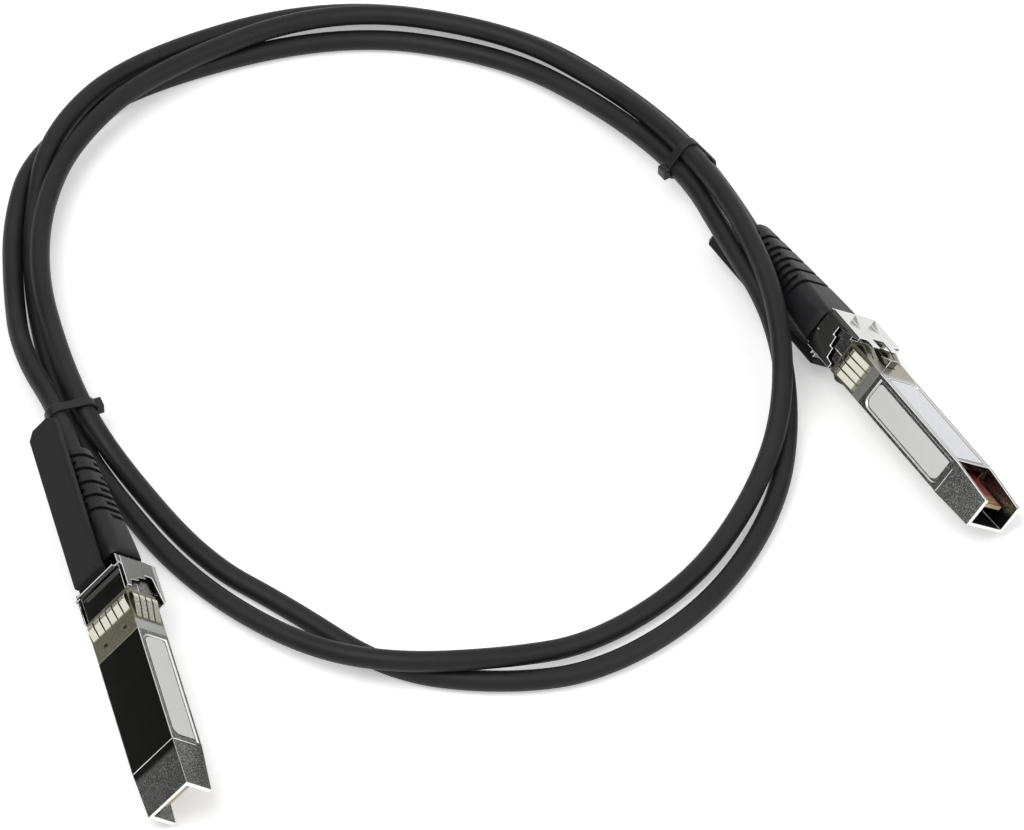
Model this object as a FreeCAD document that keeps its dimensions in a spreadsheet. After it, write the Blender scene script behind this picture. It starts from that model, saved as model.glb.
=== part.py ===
"""Direct attach copper cable: two pluggable ends joined by one coiled, tied cable.

All sizes are millimetres.  Each plug is modelled in its own frame, lying flat:
X across, -Y towards the tip, +Z towards the pull tab, Y = 0 at the front edge of
the shielding collar and Z = 0 at the underside of the housing.  The part's frame
has +Z up from the surface it lies on, with plug A pointing along -Y.
"""
import FreeCAD, Part
import math
import os
import Sketcher
from FreeCAD import Placement, Rotation, Vector

os.makedirs("parts", exist_ok=True)
doc = FreeCAD.newDocument("attach_cable")
sheet = doc.addObject("Spreadsheet::Sheet", "sizes")


class Size:
    """A length or angle kept twice: as the sheet's expression and as its number."""

    def __init__(self, text, number):
        self.text = text
        self.number = number

    @staticmethod
    def of(other):
        return other if isinstance(other, Size) else Size(repr(float(other)), float(other))

    def __add__(self, other):
        other = Size.of(other)
        return Size(f"({self.text} + {other.text})", self.number + other.number)

    def __sub__(self, other):
        other = Size.of(other)
        return Size(f"({self.text} - {other.text})", self.number - other.number)

    def __mul__(self, other):
        other = Size.of(other)
        return Size(f"({self.text} * {other.text})", self.number * other.number)

    def __truediv__(self, other):
        other = Size.of(other)
        return Size(f"({self.text} / {other.text})", self.number / other.number)

    def __neg__(self):
        return Size(f"(0 - {self.text})", -self.number)

    def __radd__(self, other):
        return Size.of(other) + self

    def __rsub__(self, other):
        return Size.of(other) - self

    def __rmul__(self, other):
        return Size.of(other) * self


def cell(alias, number):
    """Write one driving dimension into the sheet and return it."""
    cell.row += 1
    sheet.set(f"A{cell.row}", alias)
    sheet.set(f"B{cell.row}", str(number))
    sheet.setAlias(f"B{cell.row}", alias)
    return Size(f"sizes.{alias}", float(number))


cell.row = 0
zero = Size.of(0)

# ---- driving dimensions -----------------------------------------------------
# Housing: two die-cast halves
body_width = cell("body_width", 13.55)
body_height = cell("body_height", 8.5)
body_length = cell("body_length", 41.8)
nose_length = cell("nose_length", 11.6)
nose_side_taper = cell("nose_side_taper", 0.3)
nose_roof_drop = cell("nose_roof_drop", 0.5)
nose_floor_rise = cell("nose_floor_rise", 1.0)
side_wall = cell("side_wall", 1.0)
roof_wall = cell("roof_wall", 0.8)
floor_wall = cell("floor_wall", 1.5)
half_gap = cell("half_gap", 0.05)
neck_length = cell("neck_length", 21.0)
neck_inset = cell("neck_inset", 0.4)
neck_side_wall = cell("neck_side_wall", 1.775)
neck_floor_wall = cell("neck_floor_wall", 0.8)
neck_roof_wall = cell("neck_roof_wall", 0.8)
keel_start = cell("keel_start", 12.0)
keel_depth = cell("keel_depth", 1.3)
panel_depth = cell("panel_depth", 0.3)
panel_margin = cell("panel_margin", 0.9)
panel_front = cell("panel_front", 29.3)
panel_back = cell("panel_back", 1.3)
panel_radius = cell("panel_radius", 2.0)
label_thickness = cell("label_thickness", 0.14)
label_margin = cell("label_margin", 0.45)
plate_margin = cell("plate_margin", 0.425)
rib_width = cell("rib_width", 0.9)
# Latch boss under the housing
boss_front = cell("boss_front", 3.4)
boss_length = cell("boss_length", 3.0)
boss_half = cell("boss_half", 1.3)
boss_drop = cell("boss_drop", 1.9)
# Shielding collar with its spring fingers
collar_length = cell("collar_length", 10.9)
collar_sheet = cell("collar_sheet", 0.3)
collar_gap = cell("collar_gap", 0.05)
finger_top_start = cell("finger_top_start", 5.3)
finger_side_start = cell("finger_side_start", 2.6)
finger_crest = cell("finger_crest", 8.2)
finger_flat = cell("finger_flat", 0.8)
finger_end = cell("finger_end", 10.4)
finger_rise = cell("finger_rise", 0.9)
finger_sheet = cell("finger_sheet", 0.25)
finger_top_width = cell("finger_top_width", 1.7)
finger_top_edge = cell("finger_top_edge", 0.575)
finger_side_width = cell("finger_side_width", 1.45)
finger_side_edge = cell("finger_side_edge", 0.775)
collar_slot_gap = cell("collar_slot_gap", 0.6)
vent_place = cell("vent_place", 2.2)
vent_side = cell("vent_side", 3.3)
vent_width = cell("vent_width", 1.1)
vent_length = cell("vent_length", 0.9)
# Paddle card with its contacts, the chip on it, and the wires behind it
card_half = cell("card_half", 4.6)
card_side_gap = cell("card_side_gap", 0.375)
card_low = cell("card_low", 3.25)
card_sheet = cell("card_sheet", 1.0)
card_tip_gap = cell("card_tip_gap", 3.0)
card_back = cell("card_back", 3.0)
pad_pitch = cell("pad_pitch", 0.8)
pad_width = cell("pad_width", 0.55)
pad_length = cell("pad_length", 2.6)
pad_sheet = cell("pad_sheet", 0.06)
pad_edge_gap = cell("pad_edge_gap", 0.5)
chip_side = cell("chip_side", 3.0)
chip_height = cell("chip_height", 0.9)
chip_place = cell("chip_place", 14.0)
wire_radius = cell("wire_radius", 0.65)
wire_spread = cell("wire_spread", 2.4)
wire_overlap = cell("wire_overlap", 1.6)
ferrule_length = cell("ferrule_length", 5.35)
ferrule_gap = cell("ferrule_gap", 0.15)
ferrule_wall = cell("ferrule_wall", 0.5)
# Latch slider: one stamped and folded sheet
slider_sheet = cell("slider_sheet", 0.4)
slider_gap = cell("slider_gap", 0.35)
slider_front_gap = cell("slider_front_gap", 0.4)
slider_back_gap = cell("slider_back_gap", 1.5)
tongue_reach = cell("tongue_reach", 2.2)
slider_tongue_half = cell("slider_tongue_half", 4.6)
notch_gap = cell("notch_gap", 0.8)
notch_depth = cell("notch_depth", 1.2)
slider_drop = cell("slider_drop", 0.3)
slider_lip = cell("slider_lip", 1.2)
slider_shelf = cell("slider_shelf", 1.9)
step_fall = cell("step_fall", 2.3)
step_lean = cell("step_lean", 0.3)
step_run = cell("step_run", 0.9)
prong_reach = cell("prong_reach", 1.9)
prong_rise = cell("prong_rise", 1.8)
flap_rise = cell("flap_rise", 1.2)
flap_length = cell("flap_length", 3.6)
flap_set_back = cell("flap_set_back", 1.2)
flap_half = cell("flap_half", 3.3)
bar_set_back = cell("bar_set_back", 2.2)
bar_rise = cell("bar_rise", 1.3)
bar_gap = cell("bar_gap", 0.35)
bar_lug_rise = cell("bar_lug_rise", 0.8)
bar_inset = cell("bar_inset", 0.775)
# Pull tab: a moulded strap on the slider's cross bar
tab_cover = cell("tab_cover", 2.1)
tab_height = cell("tab_height", 1.6)
tab_half = cell("tab_half", 4.3)
tab_length = cell("tab_length", 44.2)
tab_gap = cell("tab_gap", 0.1)
tab_root = cell("tab_root", 2.6)
tab_rim = cell("tab_rim", 0.9)
tab_skin = cell("tab_skin", 0.8)
tab_corner = cell("tab_corner", 1.8)
tab_round = cell("tab_round", 0.5)
# Boot: overmould with a ribbed strain relief
boot_skirt_length = cell("boot_skirt_length", 3.6)
boot_grip_length = cell("boot_grip_length", 13.9)
boot_relief_length = cell("boot_relief_length", 18.5)
boot_neck_lip = cell("boot_neck_lip", 0.125)
boot_neck_crown = cell("boot_neck_crown", 0.55)
boot_skirt_step = cell("boot_skirt_step", 0.5)
boot_mid_half = cell("boot_mid_half", 6.3)
boot_mid_rise = cell("boot_mid_rise", 4.5)
boot_tail = cell("boot_tail", 3.4)
boot_neck_round = cell("boot_neck_round", 1.6)
boot_round = cell("boot_round", 2.8)
boot_tail_round = cell("boot_tail_round", 3.1)
rib_count = 5
rib_set_back = cell("rib_set_back", 1.9)
rib_pitch = cell("rib_pitch", 3.2)
groove_width = cell("groove_width", 1.0)
groove_depth = cell("groove_depth", 0.8)
slot_half = cell("slot_half", 1.7)
# Cable and ties
cable_diameter = cell("cable_diameter", 4.6)
tie_sheet = cell("tie_sheet", 0.65)
tie_width = cell("tie_width", 2.5)
tie_gap = cell("tie_gap", 0.3)
tie_head = cell("tie_head", 2.2)
# Where the plugs lie: place of the plug's origin, then turn, nose-down and lean
plug_a_x = cell("plug_a_x", -89.75)
plug_a_y = cell("plug_a_y", -21.62)
plug_a_z = cell("plug_a_z", 6.65)
plug_a_turn = cell("plug_a_turn", 0.0)
plug_a_dip = cell("plug_a_dip", 2.2)
plug_a_lean = cell("plug_a_lean", -48.7)
plug_b_x = cell("plug_b_x", 86.15)
plug_b_y = cell("plug_b_y", 6.06)
plug_b_z = cell("plug_b_z", 11.73)
plug_b_turn = cell("plug_b_turn", 15.9)
plug_b_dip = cell("plug_b_dip", 0.0)
plug_b_lean = cell("plug_b_lean", -137.4)
doc.recompute()


# ---- building helpers -------------------------------------------------------
def bind(thing, prop, size):
    """Tie a property of a document object to the sheet."""
    thing.setExpression(prop, Size.of(size).text)


def new_body(name):
    return doc.addObject("PartDesign::Body", name)


def new_sketch(body, name, plane, height=zero):
    """A sketch on one of the body's origin planes, lifted along its normal."""
    drawing = body.newObject("Sketcher::SketchObject", name)
    for feature in body.Origin.OriginFeatures:
        if feature.Role == plane:
            drawing.AttachmentSupport = [(feature, "")]
    drawing.MapMode = "FlatFace"
    bind(drawing, "AttachmentOffset.Base.z", height)
    return drawing


def fix_point(drawing, edge, end, x, y):
    """Hold one end of a sketch edge at sheet values."""
    for kind, size in (("DistanceX", x), ("DistanceY", y)):
        index = drawing.addConstraint(Sketcher.Constraint(kind, -1, 1, edge, end, size.number))
        drawing.renameConstraint(index, f"{kind}_{edge}_{end}")
        drawing.setExpression(f"Constraints.{kind}_{edge}_{end}", size.text)


def toward(start, goal, distance):
    """The point at a distance from start, along an upright or level edge to goal."""
    step_x = goal[0].number - start[0].number
    step_y = goal[1].number - start[1].number
    if abs(step_x) > abs(step_y):
        return (start[0] + math.copysign(1, step_x) * distance, start[1])
    return (start[0], start[1] + math.copysign(1, step_y) * distance)


def draw_outline(drawing, corners):
    """A closed outline; a corner (x, y, r) between square edges is rounded."""
    corners = [tuple(Size.of(value) for value in corner) for corner in corners]
    ends = []
    for index, corner in enumerate(corners):
        before = corners[index - 1]
        after = corners[(index + 1) % len(corners)]
        if len(corner) == 3:
            ends.append((toward(corner, before, corner[2]), toward(corner, after, corner[2])))
        else:
            ends.append((corner, corner))
    lines = []
    for index, (_, start) in enumerate(ends):
        goal = ends[(index + 1) % len(ends)][0]
        points = [Vector(point[0].number, point[1].number, 0) for point in (start, goal)]
        lines.append(drawing.addGeometry(Part.LineSegment(*points), False))
    for index, corner in enumerate(corners):
        line_in, line_out = lines[index - 1], lines[index]
        enter, leave = ends[index]
        fix_point(drawing, line_out, 1, leave[0], leave[1])
        if len(corner) == 2:
            drawing.addConstraint(Sketcher.Constraint("Coincident", line_in, 2, line_out, 1))
            continue
        fix_point(drawing, line_in, 2, enter[0], enter[1])
        a = Vector(enter[0].number, enter[1].number, 0)
        b = Vector(leave[0].number, leave[1].number, 0)
        c = Vector(corner[0].number, corner[1].number, 0)
        centre = a + b - c
        middle = centre + (c - centre).normalize() * corner[2].number
        arc = drawing.addGeometry(Part.Arc(a, middle, b), False)
        turns_left = (a - c).cross(b - c).z < 0
        first, last = (1, 2) if turns_left else (2, 1)
        drawing.addConstraint(Sketcher.Constraint("Coincident", arc, first, line_in, 2))
        drawing.addConstraint(Sketcher.Constraint("Coincident", arc, last, line_out, 1))
        radius = drawing.addConstraint(Sketcher.Constraint("Radius", arc, corner[2].number))
        drawing.renameConstraint(radius, f"round_{index}")
        drawing.setExpression(f"Constraints.round_{index}", corner[2].text)


def box_corners(half, low, high, radius=None):
    """Corners of a rectangle centred across X, with equal corner rounds if wanted."""
    corners = [(-half, low), (half, low), (half, high), (-half, high)]
    return [corner + (radius,) for corner in corners] if radius else corners


def grow(body, kind, name, drawing, length=None, midplane=False, reverse=False):
    """Add a Pad or Pocket of the given length."""
    feature = body.newObject(f"PartDesign::{kind}", name)
    feature.Profile = drawing
    if length is None:
        feature.Type = 1
    else:
        bind(feature, "Length", length)
    if midplane:
        feature.Midplane = True
    feature.Reversed = reverse
    return feature


def loft(body, name, drawings):
    feature = body.newObject("PartDesign::AdditiveLoft", name)
    feature.Profile = drawings[0]
    feature.Sections = drawings[1:]
    feature.Ruled = True
    return feature


def pattern(body, name, feature, axis, step, copies, reverse=False):
    """Repeat a feature along one of the body's origin axes."""
    repeat = body.newObject("PartDesign::LinearPattern", name)
    repeat.Originals = [feature]
    for origin in body.Origin.OriginFeatures:
        if origin.Role == axis:
            repeat.Direction = (origin, [""])
    repeat.Occurrences = copies
    repeat.Reversed = reverse
    bind(repeat, "Length", step * (copies - 1))
    body.Tip = repeat
    return repeat


def mirror(body, name, features, plane):
    twin = body.newObject("PartDesign::Mirrored", name)
    twin.Originals = features
    for origin in body.Origin.OriginFeatures:
        if origin.Role == plane:
            twin.MirrorPlane = (origin, [""])
    body.Tip = twin
    return twin


def block(name, x, y, z):
    """A box between three pairs of sheet values."""
    solid = doc.addObject("Part::Box", name)
    for side, corner, (low, high) in zip(("Length", "Width", "Height"), "xyz", (x, y, z)):
        bind(solid, side, Size.of(high) - low)
        bind(solid, f"Placement.Base.{corner}", low)
    return solid


def joined(kind, name, first, second):
    solid = doc.addObject(f"Part::{kind}", name)
    solid.Base = first
    solid.Tool = second
    return solid


def together(kind, name, solids):
    group = doc.addObject(f"Part::{kind}", name)
    setattr(group, "Links" if kind == "Compound" else "Shapes", solids)
    return group


# ---- values worked out from the driving dimensions --------------------------
body_half = body_width / 2
barrel_length = body_length - nose_length
inner_half = body_half - side_wall
neck_half = body_half - neck_inset
neck_low = neck_inset
neck_high = body_height - neck_inset
neck_cavity_half = neck_half - neck_side_wall
neck_cavity_low = neck_low + neck_floor_wall
neck_cavity_high = neck_high - neck_roof_wall
axis_height = body_height / 2
floor_half = inner_half - half_gap
plate_half = floor_half - plate_margin
keel_low = -keel_depth
card_high = card_low + card_sheet
card_wide_half = inner_half - card_side_gap
ferrule_front = neck_length - half_gap - ferrule_length
ferrule_radius = (neck_cavity_high - neck_cavity_low) / 2 - ferrule_gap
# Collar: its outside, and the rows of fingers spread between its edges
collar_half = neck_half + collar_gap + collar_sheet
collar_low = neck_low - collar_gap - collar_sheet
collar_high = neck_high + collar_gap + collar_sheet
collar_slot_half = boss_half + collar_slot_gap
finger_top_row = collar_half - finger_top_edge - finger_top_width / 2
finger_top_pitch = finger_top_row / 2.5
finger_side_row = collar_high - collar_low - finger_side_edge * 2 - finger_side_width
finger_side_pitch = finger_side_row / 3
# Slider: round the housing's neck, behind the collar and in front of the boot
plate_in = body_half + slider_gap
plate_out = plate_in + slider_sheet
slider_floor = keel_low - slider_gap
slider_low = slider_floor - slider_sheet
slider_top = body_height - slider_drop
slider_front = collar_length + slider_front_gap
slider_back = neck_length - slider_back_gap
prong_front = slider_front - prong_reach
slider_tongue = prong_front - tongue_reach
slider_notch_half = boss_half + notch_gap
slider_notch_back = prong_front + notch_depth
flap_place = keel_start + flap_set_back
bar_front = slider_back - bar_set_back
bar_low = neck_high + bar_gap
bar_lug_top = slider_top + bar_lug_rise
bar_top = body_height + bar_rise
bar_half = body_half - bar_inset
# Tab and boot: carried by the bar and by the neck
tab_top = bar_top + tab_cover
tab_end = bar_front + tab_length
boot_skirt = neck_length + boot_skirt_length
boot_shoulder = boot_skirt + boot_grip_length
boot_end = boot_shoulder + boot_relief_length
boot_neck_half = neck_half + boot_neck_lip
boot_neck_rise = (neck_high - neck_low) / 2 + boot_neck_crown
boot_half = boot_neck_half + boot_skirt_step
boot_rise = boot_neck_rise + boot_skirt_step
rib_first = boot_shoulder + rib_set_back


# ---- sub-parts of a plug ----------------------------------------------------
def channel(half, wall, low, high, roof):
    """Corners of a channel that opens downwards."""
    inner = half - wall
    outer = [(-half, low), (-half, high), (half, high), (half, low)]
    return outer + [(inner, low), (inner, high - roof), (-inner, high - roof), (-inner, low)]


def make_top_housing(name):
    """Roof and both side walls of the barrel, the tapered nose and the upper neck."""
    body = new_body(name)
    barrel = new_sketch(body, name + "_barrel", "XZ_Plane")
    draw_outline(barrel, channel(body_half, side_wall, zero, body_height, roof_wall))
    grow(body, "Pad", name + "_barrel_pad", barrel, barrel_length)
    rear = new_sketch(body, name + "_nose_rear", "XZ_Plane", barrel_length)
    draw_outline(rear, channel(body_half, side_wall, zero, body_height, roof_wall))
    tip = new_sketch(body, name + "_nose_tip", "XZ_Plane", body_length)
    tip_half = body_half - nose_side_taper
    tip_high = body_height - nose_roof_drop
    draw_outline(tip, channel(tip_half, side_wall, nose_floor_rise, tip_high, roof_wall))
    loft(body, name + "_nose", [rear, tip])
    neck = new_sketch(body, name + "_neck", "XZ_Plane")
    split = axis_height + half_gap / 2
    neck_wall = neck_half - neck_cavity_half
    neck_roof = neck_high - neck_cavity_high
    draw_outline(neck, channel(neck_half, neck_wall, split, neck_high, neck_roof))
    grow(body, "Pad", name + "_neck_pad", neck, neck_length, reverse=True)
    panel = new_sketch(body, name + "_panel", "YZ_Plane", body_half)
    low, high = panel_margin, body_height - panel_margin
    front, back = -panel_front, -panel_back
    corners = [(front, low), (back, low), (back, high, panel_radius), (front, high, panel_radius)]
    draw_outline(panel, corners)
    sink = grow(body, "Pocket", name + "_panel_sink", panel, panel_depth)
    mirror(body, name + "_panel_twin", [sink], "YZ_Plane")
    return body


def make_bottom_housing(name):
    """Floor plate between the side walls, card ribs, lower neck, keel and latch boss."""
    body = new_body(name)
    plate = new_sketch(body, name + "_plate", "XZ_Plane")
    rib_in = floor_half - rib_width
    rib_high = card_low - half_gap
    outline = [(-floor_half, zero), (floor_half, zero), (floor_half, rib_high), (rib_in, rib_high),
               (rib_in, floor_wall), (-rib_in, floor_wall), (-rib_in, rib_high),
               (-floor_half, rib_high)]
    draw_outline(plate, outline)
    grow(body, "Pad", name + "_plate_pad", plate, panel_front + half_gap)
    neck = new_sketch(body, name + "_neck", "XZ_Plane")
    split = axis_height - half_gap / 2
    cavity = neck_cavity_half
    outline = [(-neck_half, neck_low), (neck_half, neck_low), (neck_half, split), (cavity, split),
               (cavity, neck_cavity_low), (-cavity, neck_cavity_low), (-cavity, split),
               (-neck_half, split)]
    draw_outline(neck, outline)
    grow(body, "Pad", name + "_neck_pad", neck, neck_length, reverse=True)
    keel = new_sketch(body, name + "_keel", "XY_Plane", keel_low)
    draw_outline(keel, box_corners(neck_half, keel_start, neck_length))
    grow(body, "Pad", name + "_keel_pad", keel, keel_depth + neck_low + half_gap)
    boss = new_sketch(body, name + "_boss", "YZ_Plane")
    boss_back = boss_front + boss_length
    draw_outline(boss, [(boss_front, -boss_drop), (boss_back, -boss_drop * 0.35),
                        (boss_back, neck_low + half_gap), (boss_front, neck_low + half_gap)])
    grow(body, "Pad", name + "_boss_pad", boss, boss_half * 2, midplane=True)
    inset = new_sketch(body, name + "_inset", "XY_Plane")
    draw_outline(inset, box_corners(plate_half, -(panel_front - panel_margin), -panel_back,
                                    panel_radius / 2))
    grow(body, "Pocket", name + "_inset_sink", inset, panel_depth, reverse=True)
    return body


def finger_profile(start, base):
    """Section of one bowed spring finger standing on the collar."""
    crest_end = finger_crest + finger_flat
    top = base + finger_rise
    lift = finger_sheet * 2
    return [(start, base), (start + lift, base), (finger_crest, top - finger_sheet),
            (crest_end, top - finger_sheet), (finger_end - lift, base), (finger_end, base),
            (crest_end, top), (finger_crest, top)]


def make_collar(name):
    """Folded shielding band with rows of bowed fingers on all four sides."""
    body = new_body(name)
    half, low, high = collar_half, collar_low, collar_high
    band = new_sketch(body, name + "_band", "XZ_Plane", -collar_gap)
    draw_outline(band, box_corners(half, low, high))
    grow(body, "Pad", name + "_band_pad", band, collar_length, reverse=True)
    bore = new_sketch(body, name + "_bore", "XZ_Plane")
    draw_outline(bore, box_corners(half - collar_sheet, low + collar_sheet, high - collar_sheet))
    grow(body, "Pocket", name + "_bore_cut", bore, collar_length * 2)
    slot = new_sketch(body, name + "_slot", "XY_Plane", low - collar_sheet)
    draw_outline(slot, box_corners(collar_slot_half, boss_front - collar_gap * 4,
                                   collar_length + collar_sheet))
    grow(body, "Pocket", name + "_slot_cut", slot, collar_sheet * 3, reverse=True)
    vent = new_sketch(body, name + "_vent", "XY_Plane", high + collar_sheet)
    side, back = vent_side + vent_width / 2, vent_place + vent_length
    draw_outline(vent, [(side - vent_width, vent_place), (side, vent_place), (side, back),
                        (side - vent_width, back)])
    vent_cut = grow(body, "Pocket", name + "_vent_cut", vent, collar_sheet * 2.5)
    mirror(body, name + "_vent_twin", [vent_cut], "YZ_Plane")
    # Fingers are drawn at one end of each row, then repeated along it
    row_end = finger_top_row
    top = new_sketch(body, name + "_top", "YZ_Plane", -row_end - finger_top_width / 2)
    draw_outline(top, finger_profile(finger_top_start, high))
    top_pad = grow(body, "Pad", name + "_top_pad", top, finger_top_width)
    pattern(body, name + "_top_row", top_pad, "X_Axis", finger_top_pitch, 6)
    under = new_sketch(body, name + "_under", "YZ_Plane", -row_end - finger_top_width / 2)
    flipped = [(y, low - (z - low)) for y, z in finger_profile(finger_top_start, low)]
    draw_outline(under, flipped)
    under_pad = grow(body, "Pad", name + "_under_pad", under, finger_top_width)
    pattern(body, name + "_under_left", under_pad, "X_Axis", finger_top_pitch, 2)
    other = new_sketch(body, name + "_other", "YZ_Plane", row_end - finger_top_width / 2)
    draw_outline(other, flipped)
    other_pad = grow(body, "Pad", name + "_other_pad", other, finger_top_width)
    pattern(body, name + "_under_right", other_pad, "X_Axis", finger_top_pitch, 2, reverse=True)
    side_low = axis_height - finger_side_pitch * 1.5 - finger_side_width / 2
    for side, sign in (("near", 1), ("far", -1)):
        drawing = new_sketch(body, f"{name}_{side}", "XY_Plane", side_low)
        profile = finger_profile(finger_side_start, half)
        draw_outline(drawing, [(x * sign, y) for y, x in profile])
        pad = grow(body, "Pad", f"{name}_{side}_pad", drawing, finger_side_width)
        pattern(body, f"{name}_{side}_row", pad, "Z_Axis", finger_side_pitch, 4)
    return body


def make_card(name):
    """Board with a narrow contact edge in the open nose."""
    body = new_body(name)
    board = new_sketch(body, name + "_board", "XY_Plane", card_low)
    tip = -(body_length - card_tip_gap)
    step = -(barrel_length + nose_side_taper)
    shoulder = step + (card_wide_half - card_half)
    neck_fit = neck_cavity_half - half_gap * 2
    draw_outline(board, [(-card_half, tip), (card_half, tip), (card_half, step),
                         (card_wide_half, shoulder), (card_wide_half, -half_gap),
                         (neck_fit, -half_gap), (neck_fit, card_back),
                         (-neck_fit, card_back), (-neck_fit, -half_gap),
                         (-card_wide_half, -half_gap), (-card_wide_half, shoulder),
                         (-card_half, step)])
    grow(body, "Pad", name + "_board_pad", board, card_sheet)
    return body


def make_contacts(name):
    """Ten gold contacts on each face of the card's edge."""
    pads = []
    front = -(body_length - card_tip_gap - pad_edge_gap)
    for face, low in (("under", card_low - pad_sheet), ("over", card_high)):
        for index in range(10):
            left = pad_pitch * (index - 4.5) - pad_width / 2
            pads.append(block(f"{name}_{face}_{index}", (left, left + pad_width),
                              (front, front + pad_length), (low, low + pad_sheet)))
    return together("Compound", name, pads)


def make_chip(name):
    """Memory chip on the card."""
    body = new_body(name)
    half = chip_side / 2
    package = new_sketch(body, name + "_package", "XY_Plane", card_high + half_gap)
    draw_outline(package, box_corners(half, -chip_place - half, -chip_place + half))
    grow(body, "Pad", name + "_package_pad", package, chip_height)
    return body


def make_wire_pair(name, sign):
    """One shielded pair, soldered to the card and running back to the ferrule."""
    body = new_body(name)
    shield = new_sketch(body, name + "_shield", "XZ_Plane", wire_overlap - card_back)
    centre = wire_spread * sign
    low, high = card_high + half_gap, card_high + half_gap + wire_radius * 2
    rounding = wire_radius * 0.9
    draw_outline(shield, [(centre - wire_radius * 2, low, rounding),
                          (centre + wire_radius * 2, low, rounding),
                          (centre + wire_radius * 2, high, rounding),
                          (centre - wire_radius * 2, high, rounding)])
    grow(body, "Pad", name + "_shield_pad", shield,
         ferrule_front - half_gap - card_back + wire_overlap, reverse=True)
    return body


def make_ferrule(name):
    """Crimp ring round the cable's braid, held between the halves of the neck."""
    body = new_body(name)
    ring = new_sketch(body, name + "_ring", "XZ_Plane", -ferrule_front)
    for radius in (ferrule_radius, ferrule_radius - ferrule_wall):
        centre = Vector(0, axis_height.number, 0)
        circle = ring.addGeometry(Part.Circle(centre, Vector(0, 0, 1), radius.number), False)
        fix_point(ring, circle, 3, zero, axis_height)
        index = ring.addConstraint(Sketcher.Constraint("Radius", circle, radius.number))
        ring.renameConstraint(index, f"radius_{circle}")
        ring.setExpression(f"Constraints.radius_{circle}", radius.text)
    grow(body, "Pad", name + "_ring_pad", ring, neck_length - ferrule_front - half_gap,
         reverse=True)
    return body


def boot_sections(body, name, thinner):
    """Loft of the boot, or of its core where thinner is the depth of the grooves."""
    stations = ((neck_length + half_gap, boot_neck_half, boot_neck_rise, boot_neck_round),
                (boot_skirt, boot_neck_half, boot_neck_rise, boot_neck_round),
                (boot_skirt + half_gap, boot_half, boot_rise, boot_round),
                (boot_shoulder, boot_mid_half, boot_mid_rise, boot_round),
                (boot_end, boot_tail, boot_tail, boot_tail_round))
    drawings = []
    for index, (place, half, rise, rounding) in enumerate(stations):
        drawing = new_sketch(body, f"{name}_section_{index}", "XZ_Plane", -place)
        corners = box_corners(half - thinner, axis_height - rise + thinner,
                              axis_height + rise - thinner, rounding - thinner)
        draw_outline(drawing, corners)
        drawings.append(drawing)
    loft(body, name + "_loft", drawings)


def make_boot(name):
    """Overmould whose rear is cut into ribs: deep rings with short slots between."""
    outer = new_body(name + "_outer")
    boot_sections(outer, name + "_outer", zero)
    core = new_body(name + "_core")
    boot_sections(core, name + "_core", groove_depth)
    wide = boot_half + groove_depth
    rings = []
    for index in range(rib_count):
        start = rib_first + rib_pitch * index
        rings.append(block(f"{name}_ring_{index}", (-wide, wide), (start, start + groove_width),
                           (axis_height - wide, axis_height + wide)))
        if index == rib_count - 1:
            break
        middle = start + rib_pitch / 2
        rings.append(block(f"{name}_slot_{index}", (-wide, wide),
                           (middle, middle + groove_width),
                           (axis_height - slot_half, axis_height + slot_half)))
    slabs = together("MultiFuse", name + "_slabs", rings)
    grooves = joined("Cut", name + "_grooves", slabs, core)
    return joined("Cut", name, outer, grooves)


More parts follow.
